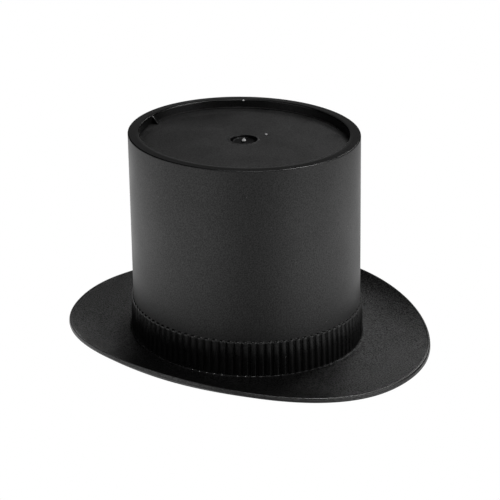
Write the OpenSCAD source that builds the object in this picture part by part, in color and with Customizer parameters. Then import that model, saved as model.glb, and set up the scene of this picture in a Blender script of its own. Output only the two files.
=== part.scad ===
// Miniature moulded top hat: an oval crown with a raised stacking rim and an inset top disc,
// a fluted band around the crown's foot, and a curled oval brim that snaps into the crown.
// +X is the long axis (front to back), +Y across, +Z up. The hat stands on the brim at z = 0.

/* [Crown] */
// Length of the crown's top, outside
crown_length = 60.3; // [56:0.1:64]
// Width of the crown's top, outside
crown_width = 55.2; // [51:0.2:58]
// Height of the crown above the brim
crown_height = 53.9; // [40:0.1:70]
// How much wider the crown is at its foot, on each side
crown_draft = 0.34; // [0:0.01:1]
// Thickness of the crown's wall
crown_wall = 1.8; // [1.6:0.1:2.2]

/* [Rim and top disc] */
// Width of the flat rim around the crown's top
rim_width = 2.8; // [2.4:0.1:4]
// Depth of the disc below the rim
recess_depth = 2.1; // [1:0.1:3]
// Thickness of the top disc
disc_thickness = 1.4; // [1:0.1:2]
// Diameter of the round dimple in the middle of the disc
dimple_diameter = 7.1; // [4:0.1:9]
// Depth of that dimple
dimple_depth = 0.5; // [0.1:0.05:0.6]

/* [Ribbed band] */
// Number of flutes around the band
rib_count = 97; // [60:1:100]
// Height of the band
band_height = 9.3; // [6:0.1:14]
// How far the flutes stand out of the crown
rib_proud = 0.62; // [0.3:0.01:1]
// Depth of the seat that the band lies in
band_seat = 0.7; // [0.4:0.05:0.9]

/* [Brim] */
// Length of the brim
brim_length = 100.6; // [94:0.2:110]
// Width of the brim
brim_width = 82.2; // [76:0.2:90]
// Thickness of the brim at its edge
brim_thickness = 1.3; // [1:0.1:2]
// How much thicker the brim is at the crown's foot
foot_thickening = 0.2; // [0:0.1:0.6]
// How far the brim's sides curl up
side_lift = 4.7; // [0:0.1:8]
// Width of the middle strip that stays level from front to back
level_strip = 16; // [0:1:40]
// Height of the collar that plugs into the crown
collar_height = 7; // [6.5:0.5:12]
// Number of slots that let the collar flex as it snaps in
collar_slots = 4; // [2:1:8]

/* [Hidden] */

black = [0.07, 0.07, 0.075];
satin_black = [0.1, 0.1, 0.105];

// Steps around each oval, and around each flute.
oval_steps = 144;
steps_per_rib = 6;

// Gap left between two pieces that are pressed together.
fit_gap = 0.04;

half_length = crown_length / 2;
half_width = crown_width / 2;
foot_z = brim_thickness + foot_thickening;
top_z = foot_z + crown_height;
disc_z = top_z - recess_depth;
seat_z = disc_z - disc_thickness;

// The ledge that carries the disc, and the slope under it.
ledge_width = 1.2;
ledge_height = 1.2;
edge_round = 0.5;

// The bead on the collar and the groove that it snaps into.
bead_z = foot_z + 4.2;
bead_height = 1.4;
bead_proud = 0.3;
collar_wall = 1.4;
collar_lead = 0.4;

// The key on the disc's edge and the small rib in the recess, with their directions.
key_angle = 110;
key_width = 2.2;
key_depth = 0.7;
gusset_y = -2.35;
gusset_length = 1.9;
gusset_width = 0.5;
gusset_foot = 0.3;

nub_diameter = 1.2;
nub_height = 0.3;
pip_diameter = 0.7;
pip_height = 0.15;
pip_spot = [3.8, 6.9];

// The flat zone of the brim around the crown, before it starts to curl, and how late the curl
// comes: a higher power keeps the brim flat for longer.
brim_flat = 1.5;
brim_stations = 7;
curl_power = 2.4;
edge_radius = 0.35;

// The slots in the collar.
slot_width = 1.2;
slot_depth = 5;

// Crown ovals at a height z and moved inwards by inset.
function drafted(z) = crown_draft * (top_z - z) / crown_height;
function oval_point(angle, inset, z) =
    let (grow = drafted(z) - inset)
    [(half_length + grow) * cos(angle), (half_width + grow) * sin(angle), z];

// A closed ring swept around the vertical axis: rows[i] is the outline of its cross-section
// at step i, going up on the outside and down on the inside.
module swept_ring(rows) {
    steps = len(rows);
    count = len(rows[0]);
    points = [for (row = rows) each row];
    faces = [
        for (i = [0 : steps - 1], j = [0 : count - 1])
            let (next_i = (i + 1) % steps, next_j = (j + 1) % count)
            [i * count + j, i * count + next_j, next_i * count + next_j, next_i * count + j]
    ];
    polyhedron(points = points, faces = faces, convexity = 6);
}

// The same for a cross-section that is alike all round, given as [inset, z] pairs.
module crown_ring(section, steps = oval_steps) {
    swept_ring([
        for (i = [0 : steps - 1])
            [for (corner = section) oval_point(360 * i / steps, corner[0], corner[1])]
    ]);
}

module oval_plate(inset, low_z, thickness) {
    outline = [for (i = [0 : oval_steps - 1]) oval_point(360 * i / oval_steps, inset, top_z)];
    translate([0, 0, low_z])
        linear_extrude(thickness)
            polygon([for (corner = outline) [corner[0], corner[1]]]);
}

module crown_shell() {
    band_top = foot_z + band_height;
    neck_z = seat_z - ledge_height;
    slope_z = neck_z - (rim_width + ledge_width - crown_wall);
    section = [
        [band_seat, foot_z],
        [band_seat, band_top],
        [0, band_top],
        [0, top_z - edge_round],
        [edge_round * (1 - cos(45)), top_z - edge_round * (1 - sin(45))],
        [edge_round, top_z],
        [rim_width - 0.2, top_z],
        [rim_width, top_z - 0.2],
        [rim_width, seat_z],
        [rim_width + ledge_width, seat_z],
        [rim_width + ledge_width, neck_z],
        [crown_wall, slope_z],
        [crown_wall, bead_z + bead_height / 2],
        [crown_wall - bead_proud, bead_z],
        [crown_wall, bead_z - bead_height / 2],
        [crown_wall, foot_z]
    ];
    color(black) {
        crown_ring(section);
        recess_gusset();
    }
}

// A thin three-cornered web between the recess's wall and the disc.
module recess_gusset() {
    wall_x = -(half_length - rim_width);
    reach = 0.5;
    translate([0, gusset_y + gusset_width / 2, 0])
        rotate([90, 0, 0])
            linear_extrude(gusset_width)
                polygon([
                    [wall_x - reach, disc_z],
                    [wall_x + gusset_length, disc_z],
                    [wall_x + gusset_length, disc_z + gusset_foot],
                    [wall_x, top_z - 0.1],
                    [wall_x - reach, top_z - 0.1]
                ]);
}

module top_disc() {
    color(satin_black)
        difference() {
            union() {
                oval_plate(rim_width + fit_gap, seat_z, disc_thickness);
                translate([0, 0, disc_z - dimple_depth])
                    cylinder(d = nub_diameter, h = nub_height, $fn = 32);
                translate([pip_spot[0], pip_spot[1], disc_z])
                    cylinder(d = pip_diameter, h = pip_height, $fn = 24);
            }
            gate_dimple();
            disc_key_notch();
        }
}

// A round dimple with a nub left standing in its middle.
module gate_dimple() {
    translate([0, 0, disc_z - dimple_depth])
        difference() {
            cylinder(d = dimple_diameter, h = 1, $fn = 64);
            translate([0, 0, -1])
                cylinder(d = nub_diameter, h = 1 + nub_height, $fn = 32);
        }
}

module disc_key_notch() {
    notch_spot = oval_point(key_angle, rim_width, top_z);
    translate([notch_spot[0], notch_spot[1], disc_z - 0.5])
        rotate(key_angle)
            translate([-key_depth, -key_width / 2, 0])
                cube([2 * key_depth, key_width, 1]);
}

// How far the band's surface stands out of the crown at one step: half-round flutes.
function flute(step) =
    let (phase = (step % steps_per_rib) / steps_per_rib * 2 - 1)
    rib_proud * max(0.05, sqrt(max(0, 1 - phase * phase)));

module ribbed_band() {
    steps = rib_count * steps_per_rib;
    low_z = foot_z;
    high_z = foot_z + band_height;
    end_round = 0.6;
    color(satin_black)
        swept_ring([
            for (i = [0 : steps - 1])
                let (angle = 360 * i / steps, proud = flute(i))
                [
                    oval_point(angle, band_seat - fit_gap, low_z),
                    oval_point(angle, -proud, low_z),
                    oval_point(angle, -proud, high_z - end_round),
                    oval_point(angle, -0.6 * proud, high_z - 0.2 * end_round),
                    oval_point(angle, -0.05, high_z - fit_gap),
                    oval_point(angle, band_seat - fit_gap, high_z - fit_gap)
                ]
        ]);
}

// The brim's plan at a station: 0 is the foot of its curl, 1 its outline.
function brim_reach(angle, station) =
    let (
        foot = oval_point(angle, -brim_flat, foot_z),
        rim = [brim_length / 2 * cos(angle), brim_width / 2 * sin(angle)]
    )
    [for (axis = [0, 1]) foot[axis] + (rim[axis] - foot[axis]) * station];

// How far the outline has curled up at an angle: nothing in the level strip, then ever faster.
function outline_rise(angle) =
    let (
        strip = level_strip / 2,
        share = max(0, abs(brim_width / 2 * sin(angle)) - strip) / (brim_width / 2 - strip)
    )
    side_lift * pow(share, 2);

function brim_rise(angle, station) = outline_rise(angle) * pow(station, curl_power);

function brim_point(angle, station, height) =
    let (plan = brim_reach(angle, station))
    [plan[0], plan[1], brim_rise(angle, station) + height];

// Height of the upper side over the underside: thicker towards the crown's foot.
function brim_top(station) = brim_thickness + foot_thickening * (1 - station);

// Station of a point that lies a given distance inside the outline.
function station_at(inset) = 1 - inset / (brim_length / 2 - half_length - brim_flat);

function brim_section(angle) =
    let (
        edge = station_at(edge_radius),
        collar_in = crown_wall + collar_wall,
        collar_out = crown_wall + fit_gap,
        collar_z = foot_z + collar_height
    )
    [
        // Underside, from the opening to the edge.
        oval_point(angle, collar_in, 0),
        for (i = [0 : brim_stations - 1]) brim_point(angle, edge * i / brim_stations, 0),
        brim_point(angle, edge, 0),
        // Rounded corners of the edge.
        for (turn = [-45, 0])
            brim_point(angle, edge + (1 - edge) * cos(turn), edge_radius * (1 + sin(turn))),
        for (turn = [0, 45])
            brim_point(angle, edge + (1 - edge) * cos(turn),
                       brim_thickness - edge_radius * (1 - sin(turn))),
        // Upper side, back to the crown's foot, and up the collar.
        for (i = [brim_stations : -1 : 0])
            brim_point(angle, edge * i / brim_stations, brim_top(i / brim_stations)),
        oval_point(angle, collar_out, foot_z),
        oval_point(angle, collar_out, bead_z - bead_height / 2),
        oval_point(angle, collar_out - bead_proud, bead_z),
        oval_point(angle, collar_out, bead_z + bead_height / 2),
        oval_point(angle, collar_out, collar_z - collar_lead),
        oval_point(angle, collar_out + collar_lead, collar_z),
        oval_point(angle, collar_in, collar_z)
    ];

module brim() {
    color(black)
        difference() {
            swept_ring([
                for (i = [0 : oval_steps - 1]) brim_section(360 * i / oval_steps)
            ]);
            for (i = [0 : collar_slots - 1])
                rotate(360 * (i + 0.5) / collar_slots)
                    collar_slot();
        }
}

module collar_slot() {
    translate([0, -slot_width / 2, foot_z + collar_height - slot_depth])
        cube([half_length, slot_width, slot_depth + 1]);
}

crown_shell();
top_disc();
ribbed_band();
brim();
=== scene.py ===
"""A miniature moulded top hat in black plastic, in detail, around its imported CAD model.

Lengths are in metres. +X is the hat's long axis, +Y across it and +Z up, and the hat stands on
the floor at z = 0. Angles round the hat are measured from +X, in degrees where a name says so.
"""
import math

import bpy
import numpy as np
from mathutils import Matrix, Vector


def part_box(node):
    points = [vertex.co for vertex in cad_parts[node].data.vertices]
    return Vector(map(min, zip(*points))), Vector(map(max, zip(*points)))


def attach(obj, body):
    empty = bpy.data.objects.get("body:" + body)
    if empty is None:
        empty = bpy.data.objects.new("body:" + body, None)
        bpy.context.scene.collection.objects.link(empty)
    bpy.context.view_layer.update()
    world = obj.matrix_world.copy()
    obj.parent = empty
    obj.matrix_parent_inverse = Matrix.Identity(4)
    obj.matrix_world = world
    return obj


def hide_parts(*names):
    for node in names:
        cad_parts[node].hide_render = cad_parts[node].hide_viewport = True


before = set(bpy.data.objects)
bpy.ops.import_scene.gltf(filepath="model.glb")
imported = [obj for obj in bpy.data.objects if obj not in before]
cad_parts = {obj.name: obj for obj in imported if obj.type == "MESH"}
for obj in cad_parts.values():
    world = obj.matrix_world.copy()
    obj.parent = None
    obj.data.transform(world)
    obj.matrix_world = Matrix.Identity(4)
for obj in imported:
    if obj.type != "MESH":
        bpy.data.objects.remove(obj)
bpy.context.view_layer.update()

MM = 0.001
BODY = "root"

# ---------------------------------------------------------------- sizes, from the CAD model
crown_low, crown_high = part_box("crown_shell")
disc_low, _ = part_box("top_disc")
_, band_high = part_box("ribbed_band")
_, brim_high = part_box("brim")

FOOT_Z = crown_low[2]
TOP_Z = crown_high[2]
CROWN_DRAFT = 0.34 * MM
# The crown's box is widest just above its seat for the band.
DRAFT_AT_BAND = CROWN_DRAFT * (TOP_Z - band_high[2]) / (TOP_Z - FOOT_Z)
HALF_LENGTH = crown_high[0] - DRAFT_AT_BAND
HALF_WIDTH = crown_high[1] - DRAFT_AT_BAND
CROWN_WALL = 1.8 * MM

RIM_WIDTH = 2.8 * MM
LEDGE_WIDTH = 1.2 * MM
RECESS_DEPTH = 2.1 * MM
DISC_Z = TOP_Z - RECESS_DEPTH
SEAT_Z = disc_low[2]

BAND_SEAT = 0.7 * MM
BAND_TOP = band_high[2]
RIB_COUNT = 97
RIB_PROUD = 0.62 * MM
RIB_FLOOR = 0.01 * MM
FLUTE_SPREAD = 1.15
FLUTE_END = 0.55 * MM
FLUTE_TAPER = 0.3
TAPER_LENGTH = 4.5 * MM

BRIM_HALF_LENGTH = brim_high[0]
BRIM_HALF_WIDTH = brim_high[1]
FOOT_THICKENING = 0.2 * MM
BRIM_THICKNESS = FOOT_Z - FOOT_THICKENING
SIDE_LIFT = 4.7 * MM
LEVEL_STRIP = 16 * MM
CURL_POWER = 2.4
BRIM_FLAT = 1.5 * MM
COLLAR_TOP = brim_high[2]
COLLAR_WALL = 1.4 * MM
EDGE_RADIUS = 0.48 * MM

# Pale specks lie at the feet of these flutes, counted round from +X: painted highlights for the glints
# there.
GLINT_SPECK_FLUTES = (74, 75, 76, 77, 78, 80, 81)
GLINT_SPECK_RADIUS = 0.11 * MM
FIT_GAP = 0.04 * MM

# The snap bead on the collar, and the groove for it in the crown.
SNAP_Z = FOOT_Z + 4.2 * MM
SNAP_DEPTH = 0.3 * MM
SNAP_SLOPE = 0.7 * MM

OVAL_STEPS = 720


# ---------------------------------------------------------------- mesh helpers
def angles(steps):
    return np.linspace(0.0, 2 * math.pi, steps, endpoint=False)


def crown_oval(angle, inset, z):
    """Points of the crown's oval at height z, moved inwards by inset."""
    grow = CROWN_DRAFT * (TOP_Z - z) / (TOP_Z - FOOT_Z) - inset
    x = (HALF_LENGTH + grow) * np.cos(angle)
    y = (HALF_WIDTH + grow) * np.sin(angle)
    return np.stack([x, y, np.broadcast_to(z, x.shape)], axis=-1)


def arc(centre, radius, start, end, steps):
    """Points of a circular arc in a cross-section, as (inset or outset, z) pairs. Angles in degrees."""
    turns = np.radians(np.linspace(start, end, steps))
    return [(centre[0] + radius * math.cos(t), centre[1] + radius * math.sin(t)) for t in turns]


def smoothstep(edge0, edge1, value):
    t = np.clip((value - edge0) / (edge1 - edge0), 0.0, 1.0)
    return t * t * (3 - 2 * t)


def dome(distance, radius):
    """1 at the middle of a round bump, falling to 0 at its radius like a sphere."""
    return np.sqrt(np.clip(1 - (distance / radius) ** 2, 0.0, 1.0))


def mesh_object(name, points, faces, finishes=None):
    """A smooth-shaded mesh object. finishes says which material slot each face takes."""
    mesh = bpy.data.meshes.new(name)
    mesh.from_pydata([tuple(p) for p in points], [], faces)
    if finishes is not None:
        mesh.polygons.foreach_set("material_index", finishes)
    mesh.polygons.foreach_set("use_smooth", [True] * len(mesh.polygons))
    mesh.update()
    piece = bpy.data.objects.new(name, mesh)
    bpy.context.scene.collection.objects.link(piece)
    return piece


def grid_faces(steps, count, closed=True):
    """Quads of a grid of steps sections with count points each, joined round the hat."""
    faces = []
    spans = count if closed else count - 1
    for i in range(steps):
        here, there = i * count, ((i + 1) % steps) * count
        for j in range(spans):
            up = (j + 1) % count
            faces.append((here + j, there + j, there + up, here + up))
    return faces


def merged(*shapes):
    """Several (points, faces, finishes) shapes as one."""
    points, faces, finishes, start = [], [], [], 0
    for shape_points, shape_faces, shape_finishes in shapes:
        points.append(np.asarray(shape_points, dtype=float))
        faces += [tuple(corner + start for corner in face) for face in shape_faces]
        finishes += list(shape_finishes)
        start += len(shape_points)
    return np.concatenate(points), faces, finishes


def small_dome(place, radius, height, finish):
    """A low round bump that stands on a face at place."""
    rings, steps = 6, 16
    turn = angles(steps)
    points = []
    for ring in range(rings):
        lean = math.radians(90 * ring / rings)
        reach, lift = radius * math.cos(lean), height * math.sin(lean)
        for t in turn:
            points.append(place + np.array([reach * math.cos(t), reach * math.sin(t), lift]))
    points.append(place + np.array([0, 0, height]))
    faces = []
    for ring in range(rings - 1):
        for i in range(steps):
            here, there = ring * steps + i, ring * steps + (i + 1) % steps
            faces.append((here, there, there + steps, here + steps))
    last = (rings - 1) * steps
    faces += [(last + i, last + (i + 1) % steps, rings * steps) for i in range(steps)]
    faces.append(tuple(reversed(range(steps))))
    return points, faces, [finish] * len(faces)


# ---------------------------------------------------------------- the crown
# Which of its piece's materials a face takes. The third is a pale one: a painted highlight on small
# specks and bumps, and on the torn nub pale torn plastic with a painted highlight.
GRAINED, POLISHED, TORN_AND_GLINT = 0, 1, 2


def tool_marks(start, end):
    """(inset, z) points across the rim's face: shallow grooves that the mould's cutter left."""
    groove, pitch = 0.004 * MM, 0.42 * MM
    count = int((end - start) / pitch)
    marks = []
    for i in range(count):
        inset = start + i * pitch
        marks += [(inset, TOP_Z), (inset + 0.5 * pitch, TOP_Z), (inset + 0.75 * pitch, TOP_Z - groove)]
    return marks


def crown_profile():
    """(inset, z, finish) round the crown's wall: up the outside, over the rim, down the inside.

    Edge, lip and root are the roundings of the rim's outer edge, of its inner edge, and of the
    corner where the recess's wall meets the disc."""
    edge, lip, root = 0.25 * MM, 0.2 * MM, 0.1 * MM
    # Extra sections this close to a rounding keep the smooth shading tight.
    support = 0.05 * MM
    neck = SEAT_Z - 1.2 * MM
    slope = neck - (RIM_WIDTH + LEDGE_WIDTH - CROWN_WALL)
    outside = [(BAND_SEAT, FOOT_Z), (BAND_SEAT, BAND_TOP)]
    outside += [(0.0, BAND_TOP), (0.0, BAND_TOP + 0.02 * MM)]
    outside += [(0.0, z) for z in np.linspace(BAND_TOP + MM, TOP_Z - edge - MM, 24)]
    outside += [(0.0, TOP_Z - edge - support), (0.0, TOP_Z - edge)]
    outside += arc((edge, TOP_Z - edge), edge, 180, 135, 5)[1:]
    rim = arc((edge, TOP_Z - edge), edge, 135, 90, 5)[1:]
    rim += tool_marks(0.45 * MM, RIM_WIDTH - 0.4 * MM)
    rim += arc((RIM_WIDTH - lip, TOP_Z - lip), lip, 90, 0, 7)
    inside = [(RIM_WIDTH, TOP_Z - lip - support), (RIM_WIDTH, DISC_Z + root + support)]
    inside += arc((RIM_WIDTH + root, DISC_Z + root), root, 180, 260, 5)
    inside += [(RIM_WIDTH, DISC_Z - 0.3 * MM), (RIM_WIDTH, SEAT_Z)]
    inside += [(RIM_WIDTH + LEDGE_WIDTH, SEAT_Z), (RIM_WIDTH + LEDGE_WIDTH, neck)]
    inside += [(CROWN_WALL, z) for z in np.linspace(slope, SNAP_Z + SNAP_SLOPE, 12)]
    inside += [(CROWN_WALL - SNAP_DEPTH, SNAP_Z), (CROWN_WALL, SNAP_Z - SNAP_SLOPE)]
    inside += [(CROWN_WALL, FOOT_Z)]
    return (
        [point + (GRAINED,) for point in outside]
        + [point + (POLISHED,) for point in rim]
        + [point + (GRAINED,) for point in inside]
    )


def crown_wall():
    turn = angles(OVAL_STEPS)
    profile = crown_profile()
    columns = [crown_oval(turn, inset, z) for inset, z, _ in profile]
    points = np.stack(columns, axis=1).reshape(-1, 3)
    finishes = [finish for _, _, finish in profile] * OVAL_STEPS
    return points, grid_faces(OVAL_STEPS, len(profile)), finishes


def recess_gusset():
    """The thin three-cornered web between the recess's wall and the disc."""
    middle_y, half = -2.35 * MM, 0.25 * MM
    wall_x = -(HALF_LENGTH - RIM_WIDTH)
    root_x, toe_x = wall_x - 0.5 * MM, wall_x + 1.9 * MM
    foot_z, toe_z, head_z = DISC_Z - 0.05 * MM, DISC_Z + 0.3 * MM, TOP_Z - 0.1 * MM
    outline = [
        (root_x, foot_z), (toe_x, foot_z), (toe_x, toe_z), (wall_x, head_z), (root_x, head_z),
    ]
    rounding = 0.06 * MM
    rows = []
    for offset, shrink in ((-half, rounding), (-half + rounding, 0), (half - rounding, 0),
                           (half, rounding)):
        rows += [(x, middle_y + offset, z - shrink) for x, z in outline]
    count = len(outline)
    faces = [tuple(range(count)), tuple(reversed(range(3 * count, 4 * count)))]
    for row in range(3):
        for i in range(count):
            here, there = row * count + i, row * count + (i + 1) % count
            faces.append((there, here, here + count, there + count))
    return rows, faces, [GRAINED] * len(faces)


def lip_glint_bump():
    """A small bump of flash on the rim's inner lip, at the far side. Its pale colour is a painted
    highlight.
    """
    turn = np.radians([123.0])
    radius, height = 0.32 * MM, 0.22 * MM
    place = crown_oval(turn, RIM_WIDTH - 0.05 * MM, TOP_Z - 0.25 * MM)[0]
    return small_dome(place, radius, height, TORN_AND_GLINT)


def make_crown():
    return mesh_object("crown_body", *merged(crown_wall(), recess_gusset(), lip_glint_bump()))


# ---------------------------------------------------------------- the disc
DIMPLE_RADIUS = 3.55 * MM
DIMPLE_DEPTH = 0.5 * MM
DIMPLE_SLOPE = 0.9 * MM
RING_PITCH = 0.75 * MM
RING_HEIGHT = 0.006 * MM
NUB_RADIUS = 0.58 * MM
NUB_HEIGHT = 0.9 * MM
PIP_SPOT = (2.6 * MM, 6.1 * MM)
PIP_RADIUS = 0.34 * MM
PIP_HEIGHT = 0.25 * MM
NOTCH_ANGLE = 110
NOTCH_WIDTH = 2.2 * MM
NOTCH_DEPTH = 0.7 * MM


def disc_height(x, y):
    """Height of the disc's upper face over its level: the gate's dimple with faint rings on its
    floor, a low lip round it, the nub that was torn off the gate, and the pip."""
    radius = np.hypot(x, y)
    dish = -DIMPLE_DEPTH * (1 - smoothstep(DIMPLE_RADIUS - DIMPLE_SLOPE, DIMPLE_RADIUS, radius))
    rings = RING_HEIGHT * np.cos(radius / RING_PITCH * 2 * math.pi)
    rings *= smoothstep(2.6 * MM, 2.2 * MM, radius)
    lip = 0.05 * MM * np.exp(-((radius - DIMPLE_RADIUS) / (0.3 * MM)) ** 2)
    torn = 1 + 0.25 * np.sin(x / (0.23 * MM)) * np.cos(y / (0.19 * MM))
    nub = NUB_HEIGHT * dome(radius, NUB_RADIUS) * torn
    pip = PIP_HEIGHT * dome(np.hypot(x - PIP_SPOT[0], y - PIP_SPOT[1]), PIP_RADIUS)
    return dish + rings + lip + nub + pip


def edge_notch(turn):
    """How far the disc's edge steps inwards at each angle: one small key notch at the far side."""
    away = np.abs(turn - math.radians(NOTCH_ANGLE)) * HALF_WIDTH
    return NOTCH_DEPTH * smoothstep(NOTCH_WIDTH / 2 + 0.1 * MM, NOTCH_WIDTH / 2 - 0.1 * MM, away)


def edge_flash(turn, share):
    """Height of a thread of flash just inside the disc's far edge."""
    along = smoothstep(math.radians(44), math.radians(56), turn)
    along *= smoothstep(math.radians(106), math.radians(101), turn)
    return 0.13 * MM * along * dome(share - 0.975, 0.008)


def disc_finish(plan):
    """Material slot for each point: the nub and the pip take the pale material, a painted highlight on
    the pip and, on the torn nub, pale torn plastic with a painted highlight. The dimple's floor takes a
    smoother material that mirrors little light, a painted shade in the recess.
    """
    finish = np.where(np.hypot(plan[:, 0], plan[:, 1]) < DIMPLE_RADIUS - 0.1 * MM, POLISHED, GRAINED)
    for x, y, radius in ((0.0, 0.0, NUB_RADIUS), (*PIP_SPOT, PIP_RADIUS)):
        finish[np.hypot(plan[:, 0] - x, plan[:, 1] - y) < 0.9 * radius] = TORN_AND_GLINT
    return finish


def disc_rings():
    """Shares of the way from the middle to the edge, close together where there is detail."""
    fine = np.linspace(0.003, 0.34, 120)
    wide = np.linspace(0.34, 0.95, 60)[1:]
    edge = np.linspace(0.95, 0.99, 17)[1:]
    return np.concatenate([fine, wide, edge])


def make_disc():
    """The oval disc: its upper face is a height field over rings that turn from round to oval."""
    steps = 480
    turn = angles(steps)
    corner = 0.12 * MM
    edge = RIM_WIDTH + FIT_GAP + edge_notch(turn)
    outline = crown_oval(turn, edge, TOP_Z)[:, :2]
    inner = crown_oval(turn, edge + corner, TOP_Z)[:, :2]
    circle = HALF_WIDTH * np.stack([np.cos(turn), np.sin(turn)], axis=-1)
    columns, finishes = [], []
    for share in disc_rings():
        oval = smoothstep(0.3, 0.9, np.array(share))
        plan = share * (circle * (1 - oval) + outline * oval)
        height = disc_height(plan[:, 0], plan[:, 1]) + edge_flash(turn, share)
        columns.append(np.column_stack([plan, DISC_Z + height]))
        finishes.append(disc_finish(plan))
    for plan, z in ((inner, DISC_Z), (outline, DISC_Z - corner), (outline, SEAT_Z)):
        columns.append(np.column_stack([plan, np.full(steps, z)]))
        finishes.append(np.full(steps, GRAINED))
    count = len(columns)
    points = np.stack(columns, axis=1).reshape(-1, 3)
    # The grid runs from the middle outwards, so its faces are turned to look up.
    faces = [face[::-1] for face in grid_faces(steps, count, closed=False)]
    finishes = np.stack(finishes[:-1], axis=1).reshape(-1).tolist()
    faces.append(tuple(i * count for i in range(steps)))
    faces.append(tuple(i * count + count - 1 for i in reversed(range(steps))))
    return mesh_object("disc_plate", points, faces, finishes + [TORN_AND_GLINT, GRAINED])


# ---------------------------------------------------------------- the band
def flute_height(phase, z):
    """How far a flute stands out, 0 to 1, for a phase of -1 to 1 across it: half round, getting
    lower over its top third, with a rounded end."""
    along = np.clip((z - (BAND_TOP - FLUTE_END)) / FLUTE_END, 0.0, 1.0)
    taper = 1 - FLUTE_TAPER * smoothstep(BAND_TOP - TAPER_LENGTH, BAND_TOP, np.array(z))
    return np.sqrt(np.clip(1 - phase ** 2 - along ** 2, 0.0, 1.0)) * taper


def make_band():
    """The ring of flutes. Between the flutes its face is flush with the crown."""
    samples = 14
    steps = RIB_COUNT * samples
    turn = angles(steps)
    phase = FLUTE_SPREAD * (np.arange(steps) % samples / samples * 2 - 1)
    outward = np.stack([np.cos(turn), np.sin(turn)], axis=-1)
    # The band stops just short of the crown's step, so that no two faces coincide.
    top = BAND_TOP - 0.01 * MM
    # Extra sections near its foot and its rounded ends keep the smooth shading tight.
    foot_support, end_support = 0.05 * MM, 0.1 * MM
    heights = np.concatenate([
        [FOOT_Z],
        np.linspace(FOOT_Z + foot_support, BAND_TOP - FLUTE_END - end_support, 24),
        np.linspace(BAND_TOP - FLUTE_END, top, 12),
    ])
    columns = [crown_oval(turn, BAND_SEAT - FIT_GAP, FOOT_Z)]
    for z in heights:
        column = crown_oval(turn, 0.0, z)
        column[:, :2] += outward * ((RIB_PROUD - RIB_FLOOR) * flute_height(phase, z) + RIB_FLOOR)[:, None]
        columns.append(column)
    columns.append(crown_oval(turn, BAND_SEAT - FIT_GAP, top))
    points = np.stack(columns, axis=1).reshape(-1, 3)
    return mesh_object("flute_band", points, grid_faces(steps, len(columns)))


# ---------------------------------------------------------------- the brim
def brim_column(turn, station, height):
    """Points round the brim at a station, 0 at the foot of its curl and 1 at its outline, at a
    height over its underside."""
    foot = crown_oval(turn, -BRIM_FLAT, FOOT_Z)[:, :2]
    rim = np.stack([BRIM_HALF_LENGTH * np.cos(turn), BRIM_HALF_WIDTH * np.sin(turn)], axis=-1)
    plan = foot + (rim - foot) * station
    strip = LEVEL_STRIP / 2
    share = np.clip(np.abs(BRIM_HALF_WIDTH * np.sin(turn)) - strip, 0, None) / (BRIM_HALF_WIDTH - strip)
    rise = SIDE_LIFT * share ** 2 * max(station, 0.0) ** CURL_POWER
    return np.column_stack([plan, rise + height])


def edge_profile():
    """(outset from the edge's start, height) round the brim's edge: a rounded lower corner, the
    fine ridge of the mould's parting line, and the softer upper corner."""
    ridge, lower = 0.05 * MM, 0.3 * MM
    middle, crest, foot = 0.42 * MM, 0.02 * MM, 0.08 * MM
    wall = EDGE_RADIUS - ridge
    points = arc((wall - lower, lower), lower, -90, 0, 8)
    points += [(wall, middle - foot), (EDGE_RADIUS, middle - crest)]
    points += [(EDGE_RADIUS, middle + crest), (wall, middle + foot)]
    points += arc((-ridge, BRIM_THICKNESS - EDGE_RADIUS), EDGE_RADIUS, 0, 90, 14)
    return points


def foot_bead(turn):
    """A very fine bead round the band's foot, fuller under each flute."""
    radius = 0.04 * MM
    fuller = 1 + 0.9 * np.cos(RIB_COUNT * turn - math.pi)
    rings = []
    for outset, z in arc((0.0, 0.0), radius, 0, 180, 7):
        ring = crown_oval(turn, -(RIB_PROUD + radius + outset), FOOT_Z)
        ring[:, 2] += z * fuller
        rings.append(ring)
    return rings


def collar_rings(turn):
    """The collar that plugs into the crown, from its foot outside, over its top, to its inside."""
    chamfer = 0.4 * MM
    outside = CROWN_WALL + FIT_GAP
    profile = [
        (0.0, FOOT_Z), (0.0, SNAP_Z - SNAP_SLOPE), (-SNAP_DEPTH, SNAP_Z), (0.0, SNAP_Z + SNAP_SLOPE),
        (0.0, COLLAR_TOP - chamfer), (chamfer, COLLAR_TOP), (COLLAR_WALL - FIT_GAP, COLLAR_TOP),
    ]
    return [crown_oval(turn, outside + inset, z) for inset, z in profile]


def foot_glint_specks():
    """Pale specks at the feet of a few flutes, in front: painted highlights for the glints there."""
    specks = []
    for flute in GLINT_SPECK_FLUTES:
        turn = np.array([2 * math.pi * (flute + 0.5) / RIB_COUNT])
        place = crown_oval(turn, -(RIB_PROUD + GLINT_SPECK_RADIUS), FOOT_Z)[0]
        specks.append(small_dome(place, GLINT_SPECK_RADIUS, GLINT_SPECK_RADIUS, TORN_AND_GLINT))
    return specks


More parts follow.
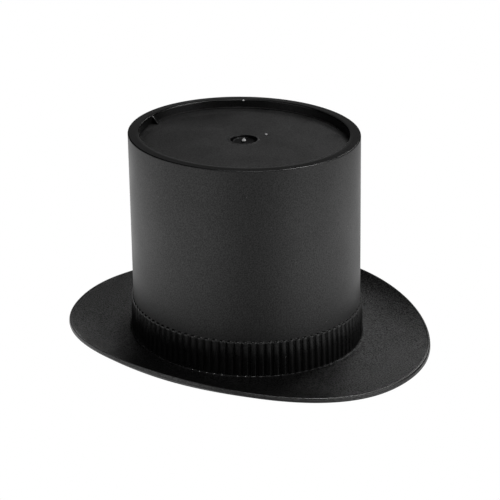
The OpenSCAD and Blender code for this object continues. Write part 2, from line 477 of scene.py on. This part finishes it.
def make_brim():
    turn = angles(10 * RIB_COUNT)
    reach = BRIM_HALF_LENGTH - HALF_LENGTH - BRIM_FLAT
    edge = 1 - EDGE_RADIUS / reach
    stations = np.linspace(0.0, edge, 40)
    under = [crown_oval(turn, CROWN_WALL + COLLAR_WALL, 0.0)]
    under += [brim_column(turn, station, 0.0) for station in stations[:-1]]
    rim = [brim_column(turn, edge + outset / reach, z) for outset, z in edge_profile()]
    upper = []
    for station in stations[-2::-1]:
        height = BRIM_THICKNESS + FOOT_THICKENING * (1 - station / edge)
        upper.append(brim_column(turn, station, height))
    bead = foot_bead(turn)
    rest = collar_rings(turn)
    columns = under + rim + upper + bead + rest
    # The edge and the foot bead take the lighter grey of the second material, a painted highlight.
    finishes = [GRAINED] * len(under) + [POLISHED] * len(rim) + [GRAINED] * len(upper)
    finishes += [POLISHED] * len(bead) + [GRAINED] * len(rest)
    points = np.stack(columns, axis=1).reshape(-1, 3)
    plate = (points, grid_faces(len(turn), len(columns)), finishes * len(turn))
    return mesh_object("brim_plate", *merged(plate, *foot_glint_specks()))


# ---------------------------------------------------------------- materials
DUST_GREY = 0.2
DUST_SIZE = 0.09 * MM
DUST_SPACING = 4 * MM


class Plastic:
    """A black moulded plastic, built up as a node tree."""

    def __init__(self, name):
        self.material = bpy.data.materials.new(name)
        self.material.use_nodes = True
        self.nodes = self.material.node_tree.nodes
        self.links = self.material.node_tree.links
        self.shader = self.nodes["Principled BSDF"]
        self.shader.inputs["IOR"].default_value = 1.5
        self.place = self.nodes.new("ShaderNodeTexCoord").outputs["Object"]

    def noise(self, size, detail=2.0, rough=0.6):
        """Soft noise with features of about the given size."""
        node = self.nodes.new("ShaderNodeTexNoise")
        node.inputs["Scale"].default_value = 1 / size
        node.inputs["Detail"].default_value = detail
        node.inputs["Roughness"].default_value = rough
        self.links.new(self.place, node.inputs["Vector"])
        return node.outputs["Fac"]

    def span(self, value, low, high, start=0.36, end=0.64):
        """The value stretched from start..end to low..high."""
        node = self.nodes.new("ShaderNodeMapRange")
        node.inputs["From Min"].default_value = start
        node.inputs["From Max"].default_value = end
        node.inputs["To Min"].default_value = low
        node.inputs["To Max"].default_value = high
        self.links.new(value, node.inputs["Value"])
        return node.outputs["Result"]

    def mixed(self, share, low, high):
        """A grey level between low, an output of the tree, and high, a number."""
        node = self.nodes.new("ShaderNodeMix")
        self.links.new(share, node.inputs["Factor"])
        self.links.new(low, node.inputs["A"])
        node.inputs["B"].default_value = high
        return node.outputs["Result"]

    def specks(self, spacing, size):
        """1 on small specks that lie about a spacing apart, and 0 elsewhere."""
        node = self.nodes.new("ShaderNodeTexVoronoi")
        node.inputs["Scale"].default_value = 1 / spacing
        self.links.new(self.place, node.inputs["Vector"])
        reach = size / spacing
        return self.span(node.outputs["Distance"], 1.0, 0.0, 0.5 * reach, reach)

    def feed(self, name, value):
        self.links.new(value, self.shader.inputs[name])


def plastic(name, grey, roughness, grain_size, grain_depth, glitter, wear=0.05, shine=0.5):
    """Moulded plastic of a grey level. Its fine grain tilts the surface by its depth, and holds
    back or lets through the shine by the glitter share. Wear is the slow change of its gloss,
    and shine is how much of the light it mirrors, 0.5 for bare plastic."""
    look = Plastic(name)
    cloud = look.noise(11 * MM, detail=3.0, rough=0.5)
    grain = look.noise(grain_size)
    mottled = look.span(grain, 0.65 * grey, 1.35 * grey)
    look.feed("Base Color", look.mixed(look.specks(DUST_SPACING, DUST_SIZE), mottled, DUST_GREY))
    look.feed("Roughness", look.span(cloud, roughness - wear, roughness + wear))
    look.feed("Specular IOR Level", look.span(grain, shine * (1 - glitter), shine * (1 + glitter)))

    bump = look.nodes.new("ShaderNodeBump")
    bump.inputs["Strength"].default_value = 1.0
    bump.inputs["Distance"].default_value = grain_depth
    look.links.new(grain, bump.inputs["Height"])
    look.feed("Normal", bump.outputs["Normal"])
    return look.material


def dress(piece, node, slot, *finishes):
    """Give a piece its materials, tie it to the hat's body, and hide the CAD node that it stands in for.
    """
    for material in finishes:
        piece.data.materials.append(material)
    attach(piece, BODY)
    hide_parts(node)


def make_hat():
    crown_black = plastic(
        "crown_black", grey=0.004, roughness=0.40, grain_size=0.27 * MM, grain_depth=0.02 * MM,
        glitter=0.28, wear=0.02)
    smooth_black = plastic(
        "smooth_black", grey=0.003, roughness=0.15, grain_size=0.30 * MM, grain_depth=0.003 * MM,
        glitter=0.15, wear=0.03)
    # Pale material: a painted highlight on the specks, the pip and the lip bump, and on the torn nub pale
    # torn plastic with a painted highlight.
    pale_torn_and_glint = plastic(
        "pale_torn_and_glint", grey=0.75, roughness=0.25, grain_size=0.20 * MM, grain_depth=0.02 * MM,
        glitter=0.30)
    # The dimple's floor mirrors little light: a painted shade in the recess, besides its smoother finish.
    dimple_black_painted_shade = plastic(
        "dimple_black_painted_shade", grey=0.002, roughness=0.30, grain_size=0.30 * MM, grain_depth=0.004 * MM,
        glitter=0.30, shine=0.08)
    disc_black = plastic(
        "disc_black", grey=0.003, roughness=0.39, grain_size=0.34 * MM, grain_depth=0.035 * MM,
        glitter=0.50)
    band_black = plastic(
        "band_black", grey=0.001, roughness=0.26, grain_size=0.25 * MM, grain_depth=0.006 * MM,
        glitter=0.30)
    # A grey ten times lighter than the brim's: a painted highlight on the brim's edge and the bead at the
    # band's foot, besides their smoother finish.
    edge_black_painted_highlight = plastic(
        "edge_black_painted_highlight", grey=0.03, roughness=0.22, grain_size=0.40 * MM, grain_depth=0.01 * MM,
        glitter=0.40)
    brim_black = plastic(
        "brim_black", grey=0.0025, roughness=0.44, grain_size=0.34 * MM, grain_depth=0.08 * MM,
        glitter=0.85)
    dress(make_crown(), "crown_shell", "crown_plastic", crown_black, smooth_black, pale_torn_and_glint)
    dress(make_disc(), "top_disc", "disc_plastic", disc_black, dimple_black_painted_shade, pale_torn_and_glint)
    dress(make_band(), "ribbed_band", "band_plastic", band_black)
    dress(make_brim(), "brim", "brim_plastic", brim_black, edge_black_painted_highlight, pale_torn_and_glint)


# ---------------------------------------------------------------- floor, light and camera
VIEW_AZIMUTH = 35.52
VIEW_ELEVATION = 23.2
VIEW_ROLL = 0.85
VIEW_DISTANCE = 448.9 * MM
VIEW_LENS = 125.5
AIM_RIGHT = 1.14 * MM
AIM_DOWN = 5.0 * MM


def view_axes():
    azimuth, elevation = math.radians(VIEW_AZIMUTH), math.radians(VIEW_ELEVATION)
    right = Vector((math.cos(azimuth), math.sin(azimuth), 0))
    level = Vector((-math.sin(azimuth), math.cos(azimuth), 0))
    forward = level * math.cos(elevation) - Vector((0, 0, 1)) * math.sin(elevation)
    return right, right.cross(forward), forward


def make_camera():
    right, up, forward = view_axes()
    aim = Vector((0, 0, (TOP_Z + FOOT_Z) / 2)) + right * AIM_RIGHT - up * AIM_DOWN
    roll = math.radians(VIEW_ROLL)
    across = right * math.cos(roll) - up * math.sin(roll)
    over = right * math.sin(roll) + up * math.cos(roll)
    data = bpy.data.cameras.new("camera")
    data.lens = VIEW_LENS
    data.clip_start = 0.01
    camera = bpy.data.objects.new("camera", data)
    turn = Matrix((across, over, -forward)).transposed().to_4x4()
    camera.matrix_world = Matrix.Translation(aim - forward * VIEW_DISTANCE) @ turn
    bpy.context.scene.collection.objects.link(camera)
    bpy.context.scene.camera = camera


def direction(azimuth, elevation):
    """A unit vector, from degrees to the camera's right of straight behind the hat, and up."""
    right, _, forward = view_axes()
    level = Vector((forward.x, forward.y, 0)).normalized()
    turn, lift = math.radians(azimuth), math.radians(elevation)
    flat = level * math.cos(turn) + right * math.sin(turn)
    return flat * math.cos(lift) + Vector((0, 0, math.sin(lift)))


# The studio's soft lights: (azimuth, elevation, half-width, strength), in degrees.
SKY_LIGHTS = {
    "key_behind_right": (33, 60, 10, 19.0),
    "behind_high": (0, 60, 12, 3.4),
    "behind": (15, 30, 8, 4.0),
    "behind_low": (0, 8, 16, 0.22),
    "right": (90, 30, 18, 1.2),
    "front_left": (-120, 12, 32, 1.0),
    "front_right": (120, 12, 32, 1.7),
    "overhead_front": (180, 65, 12, 6.0),
    "front_high": (180, 40, 26, 0.7),
}

# The light table that the hat stands on: its even glow, and patches of more light in it as
# (azimuth, distance, radius, strength). The hat shades the patch in front of it.
TABLE_GLOW = 0.53
TABLE_PATCHES = {
    "left": (-90, 120 * MM, 90 * MM, 0.78),
    "right": (90, 120 * MM, 90 * MM, 0.95),
    "front_right": (135, 120 * MM, 90 * MM, 1.0),
    "front_left": (-135, 120 * MM, 90 * MM, 0.78),
    "behind_left": (-45, 120 * MM, 90 * MM, 0.62),
    "behind_right": (45, 120 * MM, 90 * MM, 0.25),
    "behind": (0, 120 * MM, 90 * MM, 2.0),
    "shaded_front": (180, 45 * MM, 60 * MM, -0.2),
}


def glow(nodes, links, value, start, end, strength):
    """Light that rises smoothly to its strength as a value goes from start to end."""
    node = nodes.new("ShaderNodeMapRange")
    node.interpolation_type = "SMOOTHSTEP"
    node.inputs["From Min"].default_value = start
    node.inputs["From Max"].default_value = end
    node.inputs["To Max"].default_value = strength
    links.new(value, node.inputs["Value"])
    return node.outputs["Result"]


def measure(nodes, links, place, operation, target):
    """The distance or the dot product between a place and a target."""
    node = nodes.new("ShaderNodeVectorMath")
    node.operation = operation
    node.inputs[1].default_value = target
    links.new(place, node.inputs[0])
    return node.outputs["Value"]


def total(nodes, links, values):
    result = values[0]
    for value in values[1:]:
        node = nodes.new("ShaderNodeMath")
        node.operation = "ADD"
        links.new(result, node.inputs[0])
        links.new(value, node.inputs[1])
        result = node.outputs["Value"]
    return result


def white_for_camera(nodes, links, kind, strength):
    """A glow of the given strength, which the camera itself sees as plain white."""
    rays = nodes.new("ShaderNodeLightPath")
    soft, white = nodes.new(kind), nodes.new(kind)
    for node in (soft, white):
        node.inputs["Color"].default_value = (1, 1, 1, 1)
    white.inputs["Strength"].default_value = 1.0
    links.new(strength, soft.inputs["Strength"])
    mix = nodes.new("ShaderNodeMixShader")
    links.new(rays.outputs["Is Camera Ray"], mix.inputs[0])
    links.new(soft.outputs[0], mix.inputs[1])
    links.new(white.outputs[0], mix.inputs[2])
    return mix.outputs[0]


def make_world():
    world = bpy.data.worlds.new("studio")
    world.use_nodes = True
    bpy.context.scene.world = world
    nodes, links = world.node_tree.nodes, world.node_tree.links
    toward = nodes.new("ShaderNodeTexCoord").outputs["Generated"]
    lights = []
    for azimuth, elevation, width, strength in SKY_LIGHTS.values():
        near = measure(nodes, links, toward, "DOT_PRODUCT", direction(azimuth, elevation))
        lights.append(glow(nodes, links, near, math.cos(math.radians(width)), 1.0, strength))
    surface = white_for_camera(nodes, links, "ShaderNodeBackground", total(nodes, links, lights))
    links.new(surface, nodes["World Output"].inputs["Surface"])


def make_floor():
    size = 1.2
    corners = [(-size, -size, 0), (size, -size, 0), (size, size, 0), (-size, size, 0)]
    floor = mesh_object("floor", corners, [(0, 1, 2, 3)])
    material = bpy.data.materials.new("light_table")
    material.use_nodes = True
    nodes, links = material.node_tree.nodes, material.node_tree.links
    place = nodes.new("ShaderNodeTexCoord").outputs["Object"]
    even = nodes.new("ShaderNodeValue")
    even.outputs["Value"].default_value = TABLE_GLOW
    patches = [even.outputs["Value"]]
    for azimuth, distance, radius, strength in TABLE_PATCHES.values():
        away = measure(nodes, links, place, "DISTANCE", direction(azimuth, 0) * distance)
        patches.append(glow(nodes, links, away, radius, 0.0, strength))
    surface = white_for_camera(nodes, links, "ShaderNodeEmission", total(nodes, links, patches))
    links.new(surface, nodes["Material Output"].inputs["Surface"])
    floor.data.materials.append(material)


def make_studio():
    make_world()
    make_floor()
    bpy.context.scene.view_settings.view_transform = "Standard"


make_camera()
make_hat()
make_studio()
